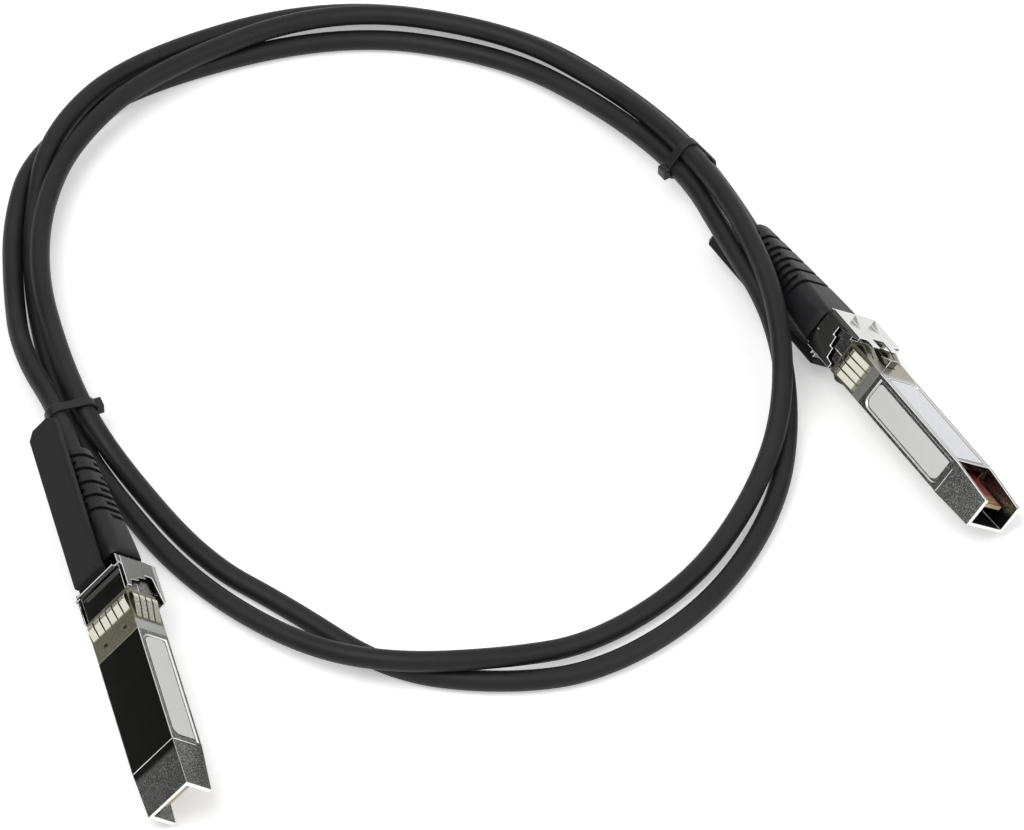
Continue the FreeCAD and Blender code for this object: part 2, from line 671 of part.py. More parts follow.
def make_slider(name):
    """Folded sheet: two side plates with prongs, a floor, a tongue and a cross bar."""
    body = new_body(name)
    plates = new_sketch(body, name + "_plates", "YZ_Plane")
    outline = [(prong_front, slider_low), (slider_back, slider_low), (slider_back, slider_top),
               (slider_front, slider_top), (slider_front, slider_top - slider_lip)]
    y, z = slider_front + slider_shelf, slider_top - slider_lip - step_lean
    for _ in range(2):
        outline.append((y, z))
        outline.append((y + step_lean, z - step_fall))
        y, z = y + step_lean + step_run, z - step_fall
    outline += [(y, z), (y, slider_floor + prong_rise), (prong_front, slider_floor + slider_sheet)]
    draw_outline(plates, outline)
    grow(body, "Pad", name + "_plates_pad", plates, plate_out * 2, midplane=True)
    inside = new_sketch(body, name + "_inside", "XZ_Plane")
    draw_outline(inside, box_corners(plate_in, slider_floor, slider_top + slider_sheet))
    grow(body, "Pocket", name + "_inside_cut", inside, slider_back * 3, midplane=True)
    tongue = new_sketch(body, name + "_tongue", "XY_Plane", slider_low)
    half, notch = slider_tongue_half, slider_notch_half
    back = slider_notch_back + slider_sheet
    draw_outline(tongue, [(-half, slider_tongue), (-notch, slider_tongue),
                          (-notch, prong_front), (notch, prong_front), (notch, slider_tongue),
                          (half, slider_tongue), (half, back), (-half, back)])
    grow(body, "Pad", name + "_tongue_pad", tongue, slider_sheet)
    notch_cut = new_sketch(body, name + "_notch", "XY_Plane", slider_low - slider_sheet)
    draw_outline(notch_cut, box_corners(notch, slider_tongue - slider_sheet, slider_notch_back))
    grow(body, "Pocket", name + "_notch_cut", notch_cut, slider_sheet * 3, reverse=True)
    flap = new_sketch(body, name + "_flap", "YZ_Plane", flap_half)
    draw_outline(flap, [(flap_place, slider_low + half_gap),
                        (flap_place + flap_length, slider_low + half_gap),
                        (flap_place + flap_length, slider_low - flap_rise)])
    flap_pad = grow(body, "Pad", name + "_flap_pad", flap, slider_sheet)
    mirror(body, name + "_flap_twin", [flap_pad], "YZ_Plane")
    bar = new_sketch(body, name + "_bar", "XZ_Plane", -bar_front)
    half, lug = bar_half, plate_out
    draw_outline(bar, [(-lug, slider_top - slider_sheet), (-plate_in, slider_top - slider_sheet),
                       (-plate_in, bar_low), (plate_in, bar_low),
                       (plate_in, slider_top - slider_sheet), (lug, slider_top - slider_sheet),
                       (lug, bar_lug_top), (half, bar_lug_top), (half, bar_top),
                       (-half, bar_top), (-half, bar_lug_top), (-lug, bar_lug_top)])
    grow(body, "Pad", name + "_bar_pad", bar, slider_sheet, reverse=True)
    return body


def make_tab(name):
    """Strap with a hollowed underside, and a root that grips the cross bar."""
    body = new_body(name)
    front = bar_front + slider_sheet + tab_gap
    low = tab_top - tab_height
    plan = new_sketch(body, name + "_plan", "XY_Plane", low)
    draw_outline(plan, [(-tab_half, front), (tab_half, front), (tab_half, tab_end - tab_corner),
                        (tab_half - tab_corner, tab_end), (-tab_half + tab_corner, tab_end),
                        (-tab_half, tab_end - tab_corner)])
    grow(body, "Pad", name + "_plan_pad", plan, tab_height)
    hollow = new_sketch(body, name + "_hollow", "XY_Plane", low)
    draw_outline(hollow, box_corners(tab_half - tab_rim, front + tab_root * 2,
                                     tab_end - tab_corner - tab_rim))
    grow(body, "Pocket", name + "_hollow_cut", hollow, tab_height - tab_skin, reverse=True)
    root_low = bar_low + tab_gap * 3
    root = new_sketch(body, name + "_root", "XY_Plane", root_low)
    draw_outline(root, box_corners(tab_half - tab_rim, front, front + tab_root))
    strap = grow(body, "Pad", name + "_root_pad", root, low - root_low + half_gap)
    doc.recompute()
    rim = [f"Edge{index + 1}" for index, edge in enumerate(strap.Shape.Edges)
           if all(abs(point.Z - tab_top.number) < 1e-6 for point in edge.Vertexes)]
    rounding = body.newObject("PartDesign::Fillet", name + "_round")
    rounding.Base = (strap, rim)
    bind(rounding, "Radius", tab_round)
    return body


def make_side_label(name):
    """Thin bare label in the side panel, with one pair of rounded corners."""
    body = new_body(name)
    sheet_low = body_half - panel_depth + half_gap
    plate = new_sketch(body, name + "_plate", "YZ_Plane", sheet_low)
    low, high = panel_margin + label_margin * 1.4, body_height - panel_margin - label_margin
    front, back = -panel_front + label_margin * 2, -panel_back - label_margin
    rounding = panel_radius - label_margin / 2
    draw_outline(plate, [(front, low), (back, low, rounding / 2), (back, high, rounding),
                         (front, high, rounding)])
    grow(body, "Pad", name + "_plate_pad", plate, label_thickness)
    return body


def make_floor_label(name):
    """Thin bare plate in the inset under the housing."""
    body = new_body(name)
    plate_low = panel_depth - half_gap - label_thickness
    plate = new_sketch(body, name + "_plate", "XY_Plane", plate_low)
    front = -(panel_front - panel_margin - label_margin)
    draw_outline(plate, box_corners(plate_half - label_margin, front, -panel_back - label_margin,
                                    panel_radius / 3))
    grow(body, "Pad", name + "_plate_pad", plate, label_thickness)
    return body


# ---- cable and ties ---------------------------------------------------------
def tangent_path(points):
    """Straight runs joined by tangent arcs; returns the wire and the arcs' radii."""
    edges, radii = [], []
    start = points[0]
    for before, corner, after in zip(points, points[1:], points[2:]):
        run_in, run_out = corner - before, after - corner
        half_turn = run_in.getAngle(run_out) / 2
        reach = 0.45 * min(run_in.Length, run_out.Length)
        radius = reach / math.tan(half_turn)
        way_in, way_out = run_in / run_in.Length, run_out / run_out.Length
        enter, leave = corner - way_in * reach, corner + way_out * reach
        inward = (way_out - way_in) / (way_out - way_in).Length
        middle = corner + inward * (radius / math.cos(half_turn) - radius)
        edges.append(Part.LineSegment(start, enter).toShape())
        edges.append(Part.Arc(enter, middle, leave).toShape())
        radii.append(radius)
        start = leave
    edges.append(Part.LineSegment(start, points[-1]).toShape())
    return Part.Wire(edges), radii


def sweep_cable(path, radius):
    start = path.Edges[0].valueAt(path.Edges[0].FirstParameter)
    along = path.Edges[0].tangentAt(path.Edges[0].FirstParameter)
    circle = Part.Wire(Part.Circle(start, along, radius).toShape())
    return path.makePipe(Part.Face(circle))


def strands_at(path, place, along):
    """Where the cable's centreline crosses the plane of a tie, in order round it."""
    disc = Part.Face(Part.Wire(Part.Circle(place, along, cable_diameter.number * 2).toShape()))
    centres = [vertex.Point for vertex in path.section(disc).Vertexes]
    mean = sum(centres, Vector()) / len(centres)
    across = (centres[0] - mean) / (centres[0] - mean).Length
    aside = along.cross(across)
    return sorted(centres, key=lambda c: math.atan2((c - mean).dot(aside), (c - mean).dot(across)))


def band_wire(centres, radius, along):
    """Outline round equal circles: arcs about the centres joined by tangent lines."""
    outward = []
    for centre, following in zip(centres, centres[1:] + centres[:1]):
        normal = (following - centre).cross(along)
        outward.append(normal / normal.Length)
    edges = []
    for index, centre in enumerate(centres):
        before, after = outward[index - 1], outward[index]
        middle = (before + after) / (before + after).Length
        ends = [centre + way * radius for way in (before, middle, after)]
        edges.append(Part.Arc(*ends).toShape())
        following = centres[(index + 1) % len(centres)]
        edges.append(Part.LineSegment(ends[2], following + after * radius).toShape())
    return Part.Wire(edges)


def make_tie(path, place, along, head_way):
    """A strap drawn round the bundle, with its square head on the side head_way."""
    centres = strands_at(path, place, along)
    inner = cable_diameter.number / 2 + tie_gap.number
    outer = inner + tie_sheet.number
    drawn = [Part.Face(band_wire(centres, radius, along)).extrude(along * tie_width.number)
             for radius in (outer, inner)]
    strap = drawn[0].cut(drawn[1])
    sides = []
    for centre, following in zip(centres, centres[1:] + centres[:1]):
        run = following - centre
        normal = run.cross(along) / run.Length
        sides.append((normal.dot(head_way), centre + run / 2, run / run.Length, normal))
    _, middle, run, normal = max(sides, key=lambda side: side[0])
    half = tie_head.number / 2
    low, high = outer - tie_sheet.number / 2, outer + tie_head.number / 2
    corners = [(-half, low), (half, low), (half, high), (-half, high), (-half, low)]
    block_wire = Part.makePolygon([middle + run * x + normal * y for x, y in corners])
    head = Part.Face(block_wire).extrude(along * (tie_width.number + tie_sheet.number))
    return strap.fuse(head).removeSplitter().translated(along * (-tie_width.number / 2))


# ---- both plugs -------------------------------------------------------------
def make_plug(name, place):
    """All pieces of one plug, moved together to where it lies."""
    pieces = {
        "top_housing": make_top_housing(name + "_top_housing"),
        "bottom_housing": make_bottom_housing(name + "_bottom_housing"),
        "emi_collar": make_collar(name + "_emi_collar"),
        "paddle_card": make_card(name + "_paddle_card"),
        "contact_pads": make_contacts(name + "_contact_pads"),
        "memory_chip": make_chip(name + "_memory_chip"),
        "wire_pair_tx": make_wire_pair(name + "_wire_pair_tx", 1),
        "wire_pair_rx": make_wire_pair(name + "_wire_pair_rx", -1),
        "crimp_ferrule": make_ferrule(name + "_crimp_ferrule"),
        "latch_slider": make_slider(name + "_latch_slider"),
        "pull_tab": make_tab(name + "_pull_tab"),
        "boot": make_boot(name + "_boot"),
        "side_label": make_side_label(name + "_side_label"),
    }
    for title, piece in pieces.items():
        piece.Label = f"{name}_{title}"
        piece.Placement = place
    return list(pieces.values())


def plug_placement(x, y, z, turn, dip, lean):
    """Lean about the plug's own length, nose down, then turn on the floor."""
    turned = Rotation(Vector(0, 0, 1), turn.number)
    dipped = Rotation(Vector(1, 0, 0), dip.number)
    leaned = Rotation(Vector(0, 1, 0), lean.number)
    return Placement(Vector(x.number, y.number, z.number), turned * dipped * leaned)


place_a = plug_placement(plug_a_x, plug_a_y, plug_a_z, plug_a_turn, plug_a_dip, plug_a_lean)
place_b = plug_placement(plug_b_x, plug_b_y, plug_b_z, plug_b_turn, plug_b_dip, plug_b_lean)
pieces = make_plug("plug_a", place_a) + make_plug("plug_b", place_b)
floor_label = make_floor_label("plug_b_floor_label")
floor_label.Label = "plug_b_floor_label"
floor_label.Placement = place_b
pieces.append(floor_label)

# ---- route of the cable: two and a half turns from plug A's boot to plug B's ----
cable_start = place_a.multVec(Vector(0, boot_end.number, axis_height.number))
cable_finish = place_b.multVec(Vector(0, boot_end.number, axis_height.number))
outer_turn = [
    (-90.5, 46.9, 7.9), (-96.0, 71.8, 4.6), (-93.3, 92.3, 2.4), (-89.8, 113.1, 2.4),
    (-80.3, 131.3, 2.4), (-53.2, 146.5, 2.4), (-3.0, 149.0, 2.4), (31.4, 132.9, 2.4),
    (48.9, 108.2, 5.0), (60.0, 80.3, 9.0), (61.7, 55.6, 12.2), (65.9, 32.3, 10.3),
    (62.3, 7.6, 4.6), (51.5, -16.2, 2.4), (29.9, -37.9, 2.4), (3.2, -48.7, 2.4),
    (-18.5, -46.3, 2.4), (-41.1, -36.2, 2.4), (-57.0, -13.3, 2.4), (-71.3, 3.9, 2.4),
    (-81.7, 33.4, 2.4),
]
crossing_turn = [
    (-86.0, 47.5, 8.2), (-88.2, 69.1, 7.3), (-87.4, 90.7, 7.2), (-81.5, 110.8, 7.2),
    (-70.5, 128.5, 7.2), (-49.1, 144.1, 7.6), (-3.6, 156.4, 6.3), (35.6, 138.8, 6.1),
    (54.8, 112.8, 6.1), (62.3, 85.1, 10.9), (65.5, 58.4, 16.2), (66.5, 30.1, 14.9),
    (59.6, 4.7, 8.9), (46.0, -14.3, 4.4), (27.7, -30.6, 2.4), (3.3, -40.8, 2.4),
    (-17.2, -42.7, 6.4), (-41.6, -38.3, 7.6), (-59.1, -24.7, 4.6), (-76.3, 0.9, 2.4),
    (-86.6, 31.4, 2.4),
]
under_turn = [
    (-89.0, 47.7, 3.6), (-90.4, 69.7, 2.4), (-89.1, 91.1, 2.4), (-85.2, 111.8, 3.6),
    (-75.2, 131.9, 7.3), (-52.5, 149.8, 6.8), (-3.2, 159.4, 2.4), (38.4, 141.1, 2.4),
    (58.1, 114.4, 2.4), (68.5, 86.3, 3.1),
]
stations = [Vector(*point) for point in outer_turn + crossing_turn + under_turn]
path, radii = tangent_path([cable_start] + stations + [cable_finish])

tube = sweep_cable(path, cable_diameter.number / 2)
doc.recompute()
boots = [piece.Shape for piece in pieces if piece.Label.endswith("boot")]
cable = doc.addObject("Part::Feature", "cable_jacket")
cable.Shape = tube.cut(boots)
cable.Label = "cable_jacket"
pieces.append(cable)

# Ties: a place on the bundle, the way the strands run there and the head's side
ties = {
    "cable_tie_left": (Vector(-88.8, 48.5, 6.4), Vector(-0.03, 1.00, 0.00),
                       Vector(-0.9, -0.0, 0.3)),
    "cable_tie_right": (Vector(62.1, 87.6, 4.5), Vector(0.31, -0.92, 0.00),
                        Vector(0.8, 0.3, 0.3)),
}
for title, (place, along, head_way) in ties.items():
    tie = doc.addObject("Part::Feature", title)
    tie.Shape = make_tie(path, place, along / along.Length, head_way)
    tie.Label = title
    pieces.append(tie)

# ---- checks and export ------------------------------------------------------
doc.recompute()
for thing in doc.Objects:
    if "Invalid" in thing.State or "Error" in thing.State:
        raise RuntimeError(f"{thing.Name}: {thing.State}")

section = math.pi * cable_diameter.number ** 2 / 4
print("cable radii", " ".join(f"{radius:.0f}" for radius in radii))
print(f"cable length {path.Length:.1f}, swept volume / section x length "
      f"{tube.Volume / (section * path.Length):.5f}")

for piece in pieces:
    shape = piece.Shape
    if shape.isNull() or not shape.isValid():
        raise RuntimeError(f"{piece.Label}: shape is not valid")
    box = shape.BoundBox
    print(f"{piece.Label}: {len(shape.Solids)} solid, {shape.Volume:.1f} mm3, "
          f"x {box.XMin:.2f} {box.XMax:.2f} y {box.YMin:.2f} {box.YMax:.2f} "
          f"z {box.ZMin:.2f} {box.ZMax:.2f}")
    shape.exportStep(f"parts/{piece.Label}.step")
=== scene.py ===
"""Looks of a direct attach copper cable: two metal plugs on one coiled, tied cable.

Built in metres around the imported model.  A plug's own coordinates are X across,
-Y towards the tip and +Z towards the pull tab.
"""
import math

import bmesh
import bpy
from mathutils import Matrix, Vector


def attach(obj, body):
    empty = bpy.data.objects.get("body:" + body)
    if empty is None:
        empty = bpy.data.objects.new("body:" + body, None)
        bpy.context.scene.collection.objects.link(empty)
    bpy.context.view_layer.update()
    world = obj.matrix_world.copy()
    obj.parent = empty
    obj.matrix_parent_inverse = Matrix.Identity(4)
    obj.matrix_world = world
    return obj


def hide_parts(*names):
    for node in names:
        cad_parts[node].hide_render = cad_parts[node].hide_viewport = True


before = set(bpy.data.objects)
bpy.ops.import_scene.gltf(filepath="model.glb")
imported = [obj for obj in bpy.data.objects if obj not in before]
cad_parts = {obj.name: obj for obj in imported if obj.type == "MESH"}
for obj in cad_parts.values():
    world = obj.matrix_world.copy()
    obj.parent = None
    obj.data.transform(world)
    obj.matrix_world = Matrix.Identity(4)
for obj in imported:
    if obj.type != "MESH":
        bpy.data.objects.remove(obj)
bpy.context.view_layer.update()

MM = 0.001
CABLE_DIAMETER = 0.0046

# Where each plug lies: origin in metres, then turn, nose-down and lean in degrees
PLUG_PLACES = {
    "plug_a": ((-0.08975, -0.02162, 0.00665), 0.0, 2.2, -48.7),
    "plug_b": ((0.08615, 0.00606, 0.01173), 15.9, 0.0, -137.4),
}


def plug_matrix(name):
    """Plug coordinates in metres to the model's frame."""
    origin, turn, dip, lean = PLUG_PLACES[name]
    turned = Matrix.Rotation(math.radians(turn), 4, "Z")
    dipped = Matrix.Rotation(math.radians(dip), 4, "X")
    leaned = Matrix.Rotation(math.radians(lean), 4, "Y")
    return Matrix.Translation(origin) @ turned @ dipped @ leaned


# ---- shader wiring ----------------------------------------------------------
class Wire:
    """A node's output that takes part in arithmetic by adding Math nodes."""

    def __init__(self, finish, socket):
        self.finish = finish
        self.socket = socket

    def math(self, operation, *others):
        return self.finish.add("ShaderNodeMath", {"operation": operation},
                               dict(enumerate((self,) + others)))[0]

    def __add__(self, other):
        return self.math("ADD", other)

    def __sub__(self, other):
        return self.math("SUBTRACT", other)

    def __rsub__(self, other):
        return self.finish.add("ShaderNodeMath", {"operation": "SUBTRACT"},
                               {0: other, 1: self})[0]

    def __mul__(self, other):
        return self.math("MULTIPLY", other)

    def __abs__(self):
        return self.math("ABSOLUTE")

    __radd__ = __add__
    __rmul__ = __mul__

    def over(self, edge, soft):
        """0 below edge, 1 above it, over a soft width."""
        return self.finish.add("ShaderNodeMapRange", {"interpolation_type": "SMOOTHSTEP"},
                               {"Value": self, "From Min": edge - soft,
                                "From Max": edge + soft})[0]

    def under(self, edge, soft):
        return 1 - self.over(edge, soft)


class Finish:
    """One procedural material and the nodes that make it."""

    def __init__(self, name):
        self.material = bpy.data.materials.new(name)
        self.material.use_nodes = True
        self.tree = self.material.node_tree
        self.tree.nodes.clear()

    def add(self, kind, settings=None, sockets=None):
        """Add a node: its settings first, then values or links to its sockets."""
        node = self.tree.nodes.new(kind)
        for key, value in (settings or {}).items():
            setattr(node, key, value)
        for key, value in (sockets or {}).items():
            if isinstance(value, Wire):
                self.tree.links.new(value.socket, node.inputs[key])
            else:
                node.inputs[key].default_value = value
        return [Wire(self, output) for output in node.outputs]

    def place(self):
        """Plug or object coordinates, in millimetres, and their three parts."""
        inside = self.add("ShaderNodeTexCoord")[3]
        scaled = self.add("ShaderNodeVectorMath", {"operation": "SCALE"},
                          {0: inside, "Scale": 1000.0})[0]
        return [scaled] + self.add("ShaderNodeSeparateXYZ", None, {0: scaled})

    def noise(self, where, scale, detail=2.0, rough=0.5):
        return self.add("ShaderNodeTexNoise", None, {
            "Vector": where, "Scale": scale, "Detail": detail, "Roughness": rough})[0]

    def stretched(self, where, stretch):
        return self.add("ShaderNodeVectorMath", {"operation": "MULTIPLY"},
                        {0: where, 1: stretch})[0]

    def blend(self, factor, first, second):
        """Between two colours by a factor."""
        return self.add("ShaderNodeMix", {"data_type": "RGBA"},
                        {0: factor, 6: first, 7: second})[2]

    def bump(self, height, strength, distance, below=None):
        sockets = {"Height": height, "Strength": strength, "Distance": distance}
        if below is not None:
            sockets["Normal"] = below
        return self.add("ShaderNodeBump", None, sockets)[0]

    def coat(self, **sockets):
        """Finish with one Principled surface."""
        named = {key.replace("_", " "): value for key, value in sockets.items()}
        surface = self.add("ShaderNodeBsdfPrincipled", None, named)[0]
        self.add("ShaderNodeOutputMaterial", None, {"Surface": surface})
        return self.material


def rgb(red, green, blue):
    return (red, green, blue, 1.0)


# ---- finishes ---------------------------------------------------------------
def cast_metal():
    """Bright plated casting: mirror top, fine sparkling grain on sides and nose, and a near-white
    front lip that is a painted highlight.
    """
    f = Finish("plated_casting")
    where, x, y, z = f.place()
    grain = f.noise(where, 3.2, 3.0, 0.7)
    cloud = f.noise(where, 0.35, 2.0)
    beside = abs(x).over(6.3, 0.2) * z.under(8.2, 0.1)
    roof = z.over(8.4, 0.05)
    nose = y.under(-30.6, 0.15) * (1.0 - roof) + y.under(-35.4, 0.5) * roof
    grained = (beside + nose).math("MINIMUM", 1.0)
    sparkle = grained * grain.over(0.56, 0.1)
    # The front lip is coloured near white: a painted highlight on the casting's front edge.
    lip_highlight = y.under(-41.7, 0.03)
    rough_cast = f.blend(sparkle, rgb(0.11, 0.11, 0.105), rgb(0.46, 0.46, 0.44))
    plated = f.blend(grained, rgb(0.24, 0.24, 0.23), rough_cast)
    shade = f.blend(lip_highlight, plated, rgb(0.82, 0.82, 0.80))
    roughness = 0.07 + grained * 0.14 + cloud * 0.03
    rippled = f.bump(cloud, 0.03, 0.0003)
    sandy = f.bump(grain * grained, 0.35, 0.00010, rippled)
    return f.coat(Base_Color=shade, Metallic=1.0, Roughness=roughness, Normal=sandy)


def stamped_steel():
    """Slider sheet: bright steel with faint rolling lines and grain, coloured darker below as
    painted shade.
    """
    f = Finish("stamped_steel")
    where, _, _, z = f.place()
    lines = f.noise(f.stretched(where, (0.8, 0.25, 6.0)), 1.0, 3.0, 0.6)
    grain = f.noise(where, 4.0, 2.0, 0.7)
    # Below z -0.9 mm the sheet is coloured darker than its top: painted shade.
    painted_shade_below = z.under(-0.9, 0.1)
    side = f.blend(lines * 0.6 + grain * 0.4, rgb(0.14, 0.14, 0.135), rgb(0.30, 0.30, 0.29))
    folded = f.blend(lines, rgb(0.44, 0.44, 0.43), rgb(0.66, 0.66, 0.64))
    shade = f.blend(painted_shade_below, side, folded)
    return f.coat(Base_Color=shade, Metallic=1.0, Roughness=0.12 + grain * 0.14,
                  Normal=f.bump(grain, 0.25, 0.00006))


def spring_sheet():
    """Collar: thin spring metal, warm grey, its finger fronts coloured pale as a painted highlight
    on their lit slopes.
    """
    f = Finish("spring_sheet")
    where, x, y, z = f.place()
    grain = f.noise(where, 2.2, 3.0, 0.6)
    raised = (abs(x).over(6.85, 0.04) + z.over(8.55, 0.04)).math("MINIMUM", 1.0)
    # Fronts of the raised fingers are coloured pale: painted light on their lit front slopes.
    painted_lit_fronts = raised * y.under(9.2, 0.3)
    band = y.under(2.6, 0.1) * abs(x).over(6.5, 0.05)
    base = f.blend(grain.over(0.5, 0.2), rgb(0.20, 0.19, 0.135), rgb(0.28, 0.27, 0.20))
    plain = f.blend(band, base, rgb(0.42, 0.43, 0.41))
    shade = f.blend(painted_lit_fronts, plain, rgb(0.74, 0.73, 0.62))
    return f.coat(Base_Color=shade, Metallic=1.0, Roughness=0.24 - painted_lit_fronts * 0.08 + grain * 0.14,
                  Normal=f.bump(grain, 0.2, 0.0001))


def strap_plastic():
    """Pull strap: flat matt black with a very fine spark-eroded grain."""
    f = Finish("strap_plastic")
    where, _, _, _ = f.place()
    grain = f.noise(where, 5.0, 2.0, 0.6)
    shade = f.blend(grain, rgb(0.006, 0.006, 0.007), rgb(0.013, 0.013, 0.014))
    return f.coat(Base_Color=shade, Specular_IOR_Level=0.22, Roughness=0.50 + grain * 0.12,
                  Normal=f.bump(grain, 0.3, 0.00006))


def boot_plastic():
    """Overmould: satin black, softly mottled, with a fine grain."""
    f = Finish("boot_plastic")
    where, _, _, _ = f.place()
    grain = f.noise(where, 4.2, 3.0, 0.6)
    cloud = f.noise(where, 0.25, 2.0)
    shade = f.blend(cloud, rgb(0.007, 0.007, 0.008), rgb(0.015, 0.015, 0.017))
    return f.coat(Base_Color=shade, Specular_IOR_Level=0.25, Roughness=0.40 + cloud * 0.14,
                  Normal=f.bump(grain, 0.3, 0.00006))


def jacket_plastic():
    """Cable jacket: black vinyl with a dry bloom and a faint extrusion ripple."""
    f = Finish("jacket_plastic")
    where, _, _, _ = f.place()
    grain = f.noise(where, 3.0, 3.0, 0.65)
    bloom = f.noise(where, 0.06, 3.0)
    shade = f.blend(bloom.over(0.52, 0.25), rgb(0.007, 0.007, 0.008), rgb(0.015, 0.015, 0.016))
    return f.coat(Base_Color=shade, Specular_IOR_Level=0.25, Roughness=0.42 + bloom * 0.16,
                  Normal=f.bump(grain, 0.25, 0.00008))


def tie_plastic():
    """Cable tie: black nylon, a little glossier than the jacket."""
    f = Finish("tie_plastic")
    where, _, _, _ = f.place()
    grain = f.noise(where, 2.0, 2.0)
    shade = f.blend(grain, rgb(0.008, 0.008, 0.008), rgb(0.016, 0.016, 0.016))
    return f.coat(Base_Color=shade, Specular_IOR_Level=0.3, Roughness=0.34 + grain * 0.1,
                  Normal=f.bump(grain, 0.2, 0.0001))


def label_film():
    """Bare side label: pale grey film with a slight orange peel."""
    f = Finish("label_film")
    where, _, _, _ = f.place()
    peel = f.noise(where, 1.4, 2.0)
    speck = f.noise(where, 6.0, 2.0)
    shade = f.blend(speck * 0.5 + peel * 0.5, rgb(0.62, 0.62, 0.61), rgb(0.72, 0.72, 0.71))
    return f.coat(Base_Color=shade, Roughness=0.42, Normal=f.bump(peel, 0.12, 0.00015))


def label_plate():
    """Bare underside plate: bright foil, softly crumpled."""
    f = Finish("label_plate")
    where, _, _, _ = f.place()
    crumple = f.noise(where, 0.9, 4.0, 0.6)
    shade = f.blend(crumple.over(0.5, 0.3), rgb(0.58, 0.59, 0.61), rgb(0.70, 0.71, 0.73))
    return f.coat(Base_Color=shade, Metallic=0.6, Roughness=0.30 + crumple * 0.12,
                  Normal=f.bump(crumple, 0.08, 0.0002))


def board_mask():
    """Card: dark red mask over copper, with pale edges of the laminate."""
    f = Finish("board_mask")
    where, _, _, z = f.place()
    weave = f.noise(where, 2.0, 2.0)
    faces = abs(z - 3.75).over(0.47, 0.02)
    mask = f.blend(weave, rgb(0.18, 0.016, 0.014), rgb(0.28, 0.03, 0.022))
    return f.coat(Base_Color=f.blend(faces, rgb(0.52, 0.46, 0.24), mask), Roughness=0.34,
                  Coat_Weight=0.3, Normal=f.bump(weave, 0.1, 0.0001))


def plain_finish(name, dark, pale, metallic, roughness, scale):
    """A small part's finish: two near colours over a fine grain."""
    f = Finish(name)
    where, _, _, _ = f.place()
    grain = f.noise(where, scale, 2.0)
    return f.coat(Base_Color=f.blend(grain, dark, pale), Metallic=metallic,
                  Roughness=roughness + grain * 0.1, Normal=f.bump(grain, 0.15, 0.00006))


FINISHES = {
    "cast_metal": cast_metal(),
    "spring_metal": spring_sheet(),
    "slider_metal": stamped_steel(),
    "tab_plastic": strap_plastic(),
    "boot_plastic": boot_plastic(),
    "jacket": jacket_plastic(),
    # Near-white edge finish: a painted highlight on the rounded edges and the thin strips along the
    # casting.
    "painted_highlight": plain_finish("painted_highlight_edge", rgb(0.78, 0.78, 0.76), rgb(0.92, 0.92, 0.90), 1.0,
                             0.12, 1.0),
    "tie_plastic": tie_plastic(),
    "label_film": label_film(),
    "label_plate": label_plate(),
    "board": board_mask(),
    "gold": plain_finish("contact_gold", rgb(0.80, 0.58, 0.20), rgb(0.92, 0.72, 0.34),
                         1.0, 0.2, 3.0),
    "chip": plain_finish("chip_resin", rgb(0.012, 0.012, 0.012), rgb(0.03, 0.03, 0.03),
                         0.0, 0.5, 5.0),
    "foil": plain_finish("pair_foil", rgb(0.60, 0.60, 0.62), rgb(0.78, 0.78, 0.80),
                         1.0, 0.25, 1.2),
    "crimp": plain_finish("crimp_brass", rgb(0.60, 0.46, 0.22), rgb(0.74, 0.58, 0.32),
                          1.0, 0.28, 1.5),
}


# ---- plug pieces ------------------------------------------------------------
BEVEL_FROM = math.radians(28)
FLAT_WITHIN = math.radians(0.4)
WELD_WITHIN = 2e-6


def new_object(name, data):
    made = bpy.data.objects.new(name, data)
    bpy.context.scene.collection.objects.link(made)
    return made


def mesh_from(shape, name):
    """Turn a finished bmesh into a mesh and let go of it."""
    mesh = bpy.data.meshes.new(name)
    shape.to_mesh(mesh)
    shape.free()
    return mesh


def bridge(shape, near, far):
    """Faces between two closed rows of corners."""
    for index in range(len(near)):
        after = (index + 1) % len(near)
        shape.faces.new((near[index], far[index], far[after], near[after]))


def give_finish(piece, slot_name):
    piece.data.materials.clear()
    piece.data.materials.append(FINISHES[slot_name])


def dressed(node, plug, body, slot_name, edge, smooth=True):
    """A rounded-edge piece with the node's own faces, in its plug's coordinates."""
    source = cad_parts[node]
    shape = bmesh.new()
    shape.from_mesh(source.data)
    placed = plug_matrix(plug)
    bmesh.ops.transform(shape, matrix=placed.inverted(), verts=shape.verts)
    bmesh.ops.remove_doubles(shape, verts=shape.verts, dist=WELD_WITHIN)
    bmesh.ops.dissolve_limit(shape, angle_limit=FLAT_WITHIN, verts=shape.verts,
                             edges=shape.edges)
    for face in shape.faces:
        face.smooth = smooth
    piece = new_object(node + "_dressed", mesh_from(shape, node + "_dressed"))
    piece.matrix_world = placed
    bevel = piece.modifiers.new("edge", "BEVEL")
    bevel.width = edge * MM
    bevel.segments = 2 if smooth else 1
    bevel.limit_method = "ANGLE"
    bevel.angle_limit = BEVEL_FROM
    if smooth:
        level = piece.modifiers.new("level", "WEIGHTED_NORMAL")
        level.weight = 100
    give_finish(piece, slot_name)
    # The rounded edges of casting and slider take the near-white finish: a painted highlight along
    # the edges.
    if slot_name in ("cast_metal", "slider_metal"):
        piece.data.materials.append(FINISHES["painted_highlight"])
        bevel.material = 1
    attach(piece, body)
    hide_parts(node)


